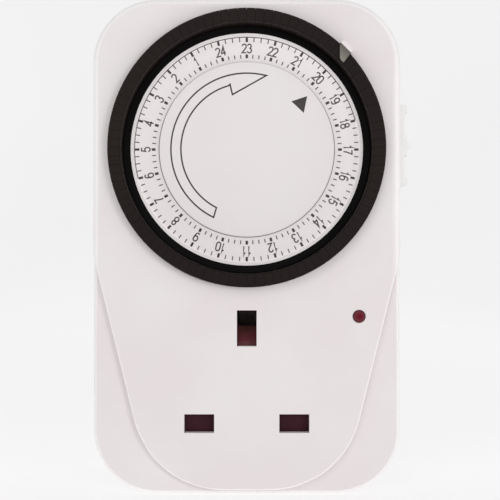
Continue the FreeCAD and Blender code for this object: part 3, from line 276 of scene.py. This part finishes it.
GREY = pointer_grey()
MAROON = shutter_maroon()
SLEEVE = moulded("sleeve_black", srgb(13, 12, 12), srgb(20, 19, 19), 0.45, 0.6, Specular_IOR_Level=0.3)
INNER = moulded("inner_plastic", srgb(205, 204, 198), srgb(218, 217, 210), 0.45, 0.6)
GEAR = moulded("gear_plastic", srgb(225, 219, 200), srgb(235, 230, 214), 0.4, 0.55)
BRASS = metal("brass", (0.62, 0.42, 0.17), (0.78, 0.58, 0.28), 0.18, 0.36, scale=(1, 0.06, 1))
STEEL = metal("steel", (0.45, 0.45, 0.46), (0.62, 0.62, 0.63), 0.22, 0.42)
COPPER = metal("copper", (0.5, 0.2, 0.1), (0.7, 0.32, 0.17), 0.25, 0.45, scale=(1, 20, 1))
INK = moulded("ink_dark", srgb(44, 39, 40), srgb(60, 55, 55), 0.5, 0.6, grain=4200.0)


def ink_circle():
    """Thin grey line of painted shadow at the edge of the raised disc: darker below the middle of the dial, fading
    out towards its top.
    """
    m = Mat("disc_edge_painted_shadow")
    # painted shade: dark at the bottom, fading towards the top of the disc
    up = m.span(m.tc.outputs["Object"], "Z", DIAL_Z, DIAL_Z + 20.7)
    col = m.ramp(up, [(0.0, srgb(98, 90, 88)), (0.2, srgb(118, 110, 108)), (0.42, srgb(146, 138, 136)),
                      (0.6, srgb(178, 170, 169)), (0.8, srgb(206, 199, 199)), (1.0, srgb(216, 210, 210))])
    tone = m.ramp(m.noise(500.0, 3.0, 0.55), [(0.3, (0.92, 0.92, 0.92)), (0.7, (1.0, 1.0, 1.0))])
    return m.out(m.mix(1.0, col, tone, "MULTIPLY"), m.remap(m.noise(200.0), 0.5, 0.6), m.bump(m.noise(4200.0), 0.3, 0.00001))


DISC_SHADOW_PAINT = ink_circle()
INKS = moulded("ink_numerals", srgb(72, 66, 66), srgb(94, 88, 88), 0.5, 0.6, grain=4200.0)


def neon_red():
    """Red lens: deep crimson over the lamp, greyer towards its edge, where it is thicker."""
    m = Mat("neon_red")
    cloud = m.noise(900.0, 3.0, 0.5)
    col = m.ramp(m.ring(26.2, -16.2, 0.0, 1.5),
                 [(0.0, srgb(102, 10, 28)), (0.28, srgb(104, 18, 34)), (0.6, srgb(108, 46, 54)), (1.0, srgb(100, 56, 62))])
    tone = m.ramp(cloud, [(0.3, (0.9, 0.9, 0.9)), (0.7, (1.0, 1.0, 1.0))])
    return m.out(m.mix(1.0, col, tone, "MULTIPLY"), m.remap(m.noise(300.0, 2.0), 0.16, 0.28), m.bump(cloud, 0.15, 0.00003),
                 IOR=1.49, Specular_IOR_Level=0.08)


LENS = neon_red()


def chamber():
    """Brown shroud of the clips: dark at its mouth, with painted light making it pale further in."""
    m = Mat("contact_carrier_brown")
    cloud = m.noise(38.0, 3.0, 0.55)
    mouth = m.ramp(cloud, [(0.32, srgb(44, 34, 33)), (0.68, srgb(54, 42, 41))])
    # the pale inner tint is painted light in the shaded depth of the slot
    deep = m.ramp(cloud, [(0.32, srgb(236, 214, 211)), (0.68, srgb(242, 221, 217))])
    # painted light mask: 0 in front of y -33 mm, 1 deeper than y -31.6 mm
    deep_light_mask = m.span(m.tc.outputs["Object"], "Y", -33.0, -31.6)
    return m.out(m.mix(deep_light_mask, mouth, deep), m.remap(m.noise(90.0, 5.0, 0.6), 0.5, 0.65),
                 m.bump(m.noise(2600.0, 2.0, 0.6), 0.35, 0.000012), Specular_IOR_Level=0.2)


CHAMBER = chamber()
SLIDE = moulded("slide_white", srgb(240, 238, 238), srgb(247, 245, 245), 0.4, 0.5)
# very dark brass: painted shade that hides the glints of the earth strip inside its slot
SHADED_BRASS = metal("brass_painted_shade", (0.07, 0.05, 0.03), (0.12, 0.085, 0.05), 0.4, 0.6, scale=(1, 0.06, 1))

SLOTS = {"case_white": CASE, "dial_white": DIALW, "dial_black": BLACK, "pointer_grey": GREY, "neon_red": LENS,
         "shutter_maroon": MAROON, "steel": STEEL, "sleeve_black": SLEEVE, "brass": BRASS, "copper": COPPER,
         "inner_plastic": INNER, "gear_plastic": GEAR}
for sp in frame["record"]["subparts"]:
    o = nodes[sp["node"]]
    mat = SLOTS[sp["material_slot"]]
    if sp["node"] == "dial_carrier":
        mat = BLACKIN
    if sp["node"] == "contact_carrier":
        mat = CHAMBER
    if sp["node"] in ("slider_bezel", "override_slider"):
        mat = SLIDE
    # the earth strip takes the darkened brass as painted shade
    if sp["node"] == "earth_strip":
        mat = SHADED_BRASS
    o.data.materials.clear()
    o.data.materials.append(mat)

# ------------------------------------------------------------- printed marks


def flat_mesh(name, faces, depth, thick, mat, body):
    """Printed film: each face is a list of (x, z) in mm, counter-clockwise from the front."""
    bm = bmesh.new()
    for pts in faces:
        top = [bm.verts.new((x * MM, -(depth + thick) * MM, z * MM)) for x, z in pts]
        low = [bm.verts.new((x * MM, -depth * MM, z * MM)) for x, z in pts]
        bm.faces.new(top)
        bm.faces.new(list(reversed(low)))
        k = len(pts)
        for i in range(k):
            bm.faces.new((low[i], low[(i + 1) % k], top[(i + 1) % k], top[i]))
    bm.normal_update()
    me = bpy.data.meshes.new(name)
    bm.to_mesh(me)
    bm.free()
    me.materials.append(mat)
    o = bpy.data.objects.new(name, me)
    scene.collection.objects.link(o)
    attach(o, body)
    return o


def ribbon(points, width, closed=False):
    """Quads along a line of constant width."""
    n = len(points)
    left, right = [], []
    for i in range(n):
        if closed:
            a, b, c = points[i - 1], points[i], points[(i + 1) % n]
        else:
            a, b, c = points[max(0, i - 1)], points[i], points[min(n - 1, i + 1)]
        d1 = Vector((b[0] - a[0], b[1] - a[1]))
        d2 = Vector((c[0] - b[0], c[1] - b[1]))
        if d1.length < 1e-9:
            d1 = d2
        if d2.length < 1e-9:
            d2 = d1
        d1.normalize()
        d2.normalize()
        n1 = Vector((-d1.y, d1.x))
        n2 = Vector((-d2.y, d2.x))
        m = (n1 + n2)
        if m.length < 1e-6:
            m = n1.copy()
        m.normalize()
        k = width / 2 / max(0.22, m.dot(n1))
        left.append((b[0] + m.x * k, b[1] + m.y * k))
        right.append((b[0] - m.x * k, b[1] - m.y * k))
    faces = []
    for i in range(n if closed else n - 1):
        j = (i + 1) % n
        faces.append([right[i], right[j], left[j], left[i]])
    return faces


def arc(cx, cz, rx, rz, a0, a1, n):
    return [(cx + rx * math.cos(math.radians(a0 + (a1 - a0) * i / n)),
             cz + rz * math.sin(math.radians(a0 + (a1 - a0) * i / n))) for i in range(n + 1)]


# numerals drawn as strokes: x from -0.28 to 0.28, z from 0 to 1
GLYPHS = {
    "0": [arc(0, 0.72, 0.25, 0.28, 0, 180, 10) + arc(0, 0.28, 0.25, 0.28, 180, 360, 10) + [(0.25, 0.72)]],
    "1": [[(-0.15, 0.76), (0.03, 0.86), (0.06, 1.0), (0.06, 0.0)]],
    "2": [arc(0, 0.74, 0.25, 0.26, 170, -35, 10) + [(-0.26, 0.02), (0.27, 0.02)]],
    "3": [arc(0, 0.76, 0.23, 0.24, 165, -80, 10), arc(0, 0.27, 0.26, 0.27, 85, -165, 12)],
    "4": [[(0.12, 0.0), (0.12, 1.0), (-0.27, 0.3), (0.29, 0.3)]],
    "5": [[(0.23, 0.98), (-0.17, 0.98), (-0.23, 0.52)] + arc(0.0, 0.31, 0.26, 0.31, 120, -160, 12)],
    "6": [arc(0, 0.31, 0.26, 0.31, 160, -200, 16) + [(-0.24, 0.5)] + arc(0.02, 0.62, 0.25, 0.38, 165, 40, 8)],
    "7": [[(-0.26, 0.98), (0.26, 0.98), (0.1, 0.62), (-0.02, 0.3), (-0.07, 0.0)]],
    "8": [arc(0, 0.76, 0.22, 0.24, -90, 270, 16), arc(0, 0.26, 0.26, 0.26, 90, 450, 16)],
    "9": [arc(0, 0.69, 0.26, 0.31, -20, 340, 16) + [(0.24, 0.5)] + arc(-0.02, 0.38, 0.25, 0.38, -15, -140, 8)],
}


def numeral(text, cx, cz, turn, height, stroke):
    """Faces of a number centred at a point; turn 0 is upright, in degrees counter-clockwise."""
    pitch = 0.64
    ca, sa = math.cos(math.radians(turn)), math.sin(math.radians(turn))
    faces = []
    for i, ch in enumerate(text):
        off = (i - (len(text) - 1) / 2) * pitch
        for line in GLYPHS[ch]:
            pts = []
            for x, z in line:
                u, v = (x + off) * height * 0.92, (z - 0.5) * height
                pts.append((cx + u * ca - v * sa, cz + u * sa + v * ca))
            faces += ribbon(pts, stroke)
    return faces


def polar(r, a):
    return (r * math.cos(math.radians(a)), DIAL_Z + r * math.sin(math.radians(a)))


def bar(r0, r1, a, half):
    """Radial mark between two radii with this half width."""
    ux, uz = math.cos(math.radians(a)), math.sin(math.radians(a))
    c = [(r0, -half), (r1, -half), (r1, half), (r0, half)]
    return [(r * ux - s * uz, DIAL_Z + r * uz + s * ux) for r, s in c]


SCALE_D = 38.6
ticks, hours, digits = [], [], []
for h in range(24):
    a = (h - 17) * 15.0
    for q in range(4):
        b = a + 3.75 * q
        if q == 0:
            hours.append(bar(25.35, 26.4, b, 0.27))
            hours.append(bar(21.55, 22.45, b, 0.3))
        else:
            ticks.append(bar(25.4, 26.4, b, 0.12))
            ticks.append(bar(21.5, 22.4, b, 0.13))
    n = h if h > 0 else 24
    x, z = polar(23.85, a)
    digits += numeral(str(n), x, z, a - 90.0, 2.05, 0.32)
flat_mesh("dial_hour_marks", hours, SCALE_D, 0.012, INK, "dial")
flat_mesh("dial_quarter_marks", ticks, SCALE_D, 0.012, INKS, "dial")
flat_mesh("dial_numerals", digits, SCALE_D, 0.012, INKS, "dial")
# the night hours, 18 to 6, are bounded by a thin line along the rim
flat_mesh("dial_night_arc", ribbon(arc(0, DIAL_Z, 26.5, 26.5, 15.0, 195.0, 120), 0.2), SCALE_D, 0.012, INKS, "dial")
# thin circle of painted shadow round the fixed disc
flat_mesh("dial_painted_disc_shadow", ribbon(arc(0, DIAL_Z, 20.72, 20.72, 0.0, 357.5, 143), 0.13, True), SCALE_D, 0.012, DISC_SHADOW_PAINT, "dial")

DISC_D = 39.15
cx, cz = at_px(246.9, 149.1, DISC_D)
s = PX_PER_MM * CAM_AWAY / (CAM_AWAY + FACE_D - DISC_D)
outer = arc(cx, cz, 76.0 / s, 76.0 / s, 244.0, 79.0, 56)
tip = at_px(266.4, 75.5, DISC_D)
barb = at_px(232.4, 94.6, DISC_D)
notch = at_px(230.0, 84.3, DISC_D)
inner = arc(cx, cz, 66.0 / s, 66.0 / s, 106.0, 242.5, 50)
arrow = outer + [tip, barb, notch] + inner
flat_mesh("disc_arrow", ribbon(arrow, 0.36, True), DISC_D, 0.012, INK, "housing")
tri = [at_px(291.4, 101.3, DISC_D), at_px(303.8, 113.0, DISC_D), at_px(307.2, 96.1, DISC_D)]
flat_mesh("disc_triangle", [tri], DISC_D, 0.012, INK, "housing")

# --------------------------------------------------------- floor and lights
FLOOR_Z = -0.058


def sweep():
    """Pale floor that curves up into a backdrop."""
    bm = bmesh.new()
    prof = [(-3.0, FLOOR_Z), (0.5, FLOOR_Z)]
    for i in range(1, 13):
        a = math.radians(90.0 * i / 12)
        prof.append((0.5 + 0.5 * math.sin(a), FLOOR_Z + 0.5 * (1 - math.cos(a))))
    prof.append((1.0, 3.0))
    rows = []
    for y, z in prof:
        rows.append([bm.verts.new((x, y, z)) for x in (-3.0, 3.0)])
    for a, b in zip(rows, rows[1:]):
        bm.faces.new((a[0], a[1], b[1], b[0]))
    me = bpy.data.meshes.new("floor")
    bm.to_mesh(me)
    bm.free()
    for p in me.polygons:
        p.use_smooth = True
    o = bpy.data.objects.new("floor", me)
    scene.collection.objects.link(o)
    m = Mat("floor_paint")
    c = m.ramp(m.noise(3.0, 2.0), [(0.3, srgb(158, 158, 158)), (0.7, srgb(166, 166, 166))])
    me.materials.append(m.out(c, None, None, Roughness=0.9, Emission_Color=(1, 1, 1, 1), Emission_Strength=0.64))
    return o


sweep()


def area(name, loc, aim, size, power, colour=(1, 1, 1)):
    d = bpy.data.lights.new(name, "AREA")
    d.shape = "SQUARE"
    d.size = size
    d.energy = power
    d.color = colour
    o = bpy.data.objects.new(name, d)
    scene.collection.objects.link(o)
    o.location = loc
    o.rotation_euler = (Vector(aim) - Vector(loc)).to_track_quat("-Z", "Y").to_euler()
    return o


area("key", (-0.2, -0.8, 0.45), (0, -0.03, 0), 0.5, 1.5)
area("fill", (0.45, -0.8, 0.12), (0, -0.03, 0), 0.3, 1.5)
world = bpy.data.worlds.new("world")
world.use_nodes = True
world.node_tree.nodes["Background"].inputs["Color"].default_value = (1, 1, 1, 1)
world.node_tree.nodes["Background"].inputs["Strength"].default_value = 0.45
scene.world = world
scene.view_settings.view_transform = "Standard"
